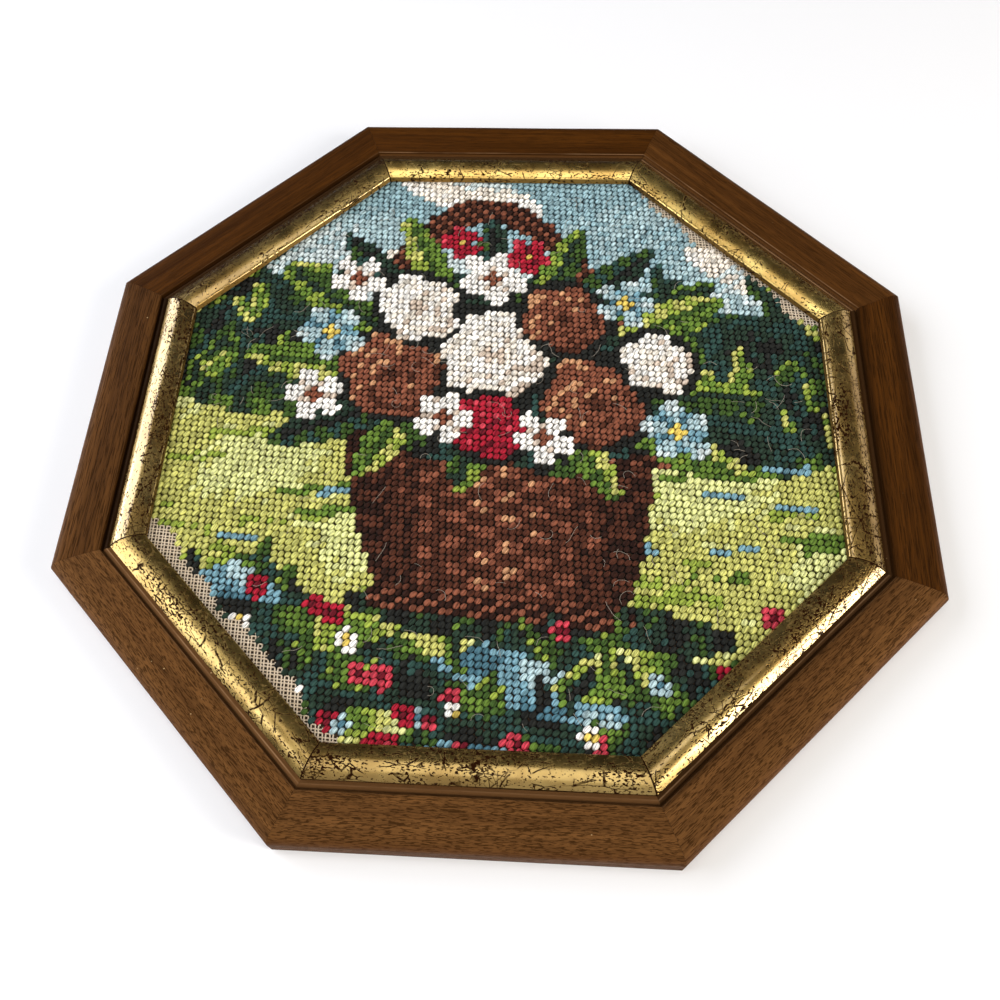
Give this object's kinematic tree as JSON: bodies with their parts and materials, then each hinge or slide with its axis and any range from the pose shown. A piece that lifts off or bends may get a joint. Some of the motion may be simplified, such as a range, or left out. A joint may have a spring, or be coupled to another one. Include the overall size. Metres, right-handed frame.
{
  "type": "framed needlepoint picture",
  "caption": "Octagonal wooden picture frame with gilt inner slips and a flat stretched needlepoint cloth, shown lying on its back.",
  "frame": {"origin": "centre of the frame's back, on the surface that it lies on", "axes": "+Z out of the picture's face, +Y towards the picture's top, +X towards the picture's right"},
  "size_m": [0.309, 0.309, 0.0135],
  "materials": {
    "stained_wood": "satin stained open-grain wood",
    "aged_gilt": "gilt with an antique crackle and dark specks",
    "wool_stitches": "slanted wool half-cross stitches on double-thread canvas"
  },
  "bodies": {
    "root": {"moulding_1": "stained_wood", "moulding_2": "stained_wood", "moulding_3": "stained_wood", "moulding_4": "stained_wood", "moulding_5": "stained_wood", "moulding_6": "stained_wood", "moulding_7": "stained_wood", "moulding_8": "stained_wood", "slip_1": "aged_gilt", "slip_2": "aged_gilt", "slip_3": "aged_gilt", "slip_4": "aged_gilt", "slip_5": "aged_gilt", "slip_6": "aged_gilt", "slip_7": "aged_gilt", "slip_8": "aged_gilt", "needlepoint_cloth": "wool_stitches"}
  },
  "joints": []
}
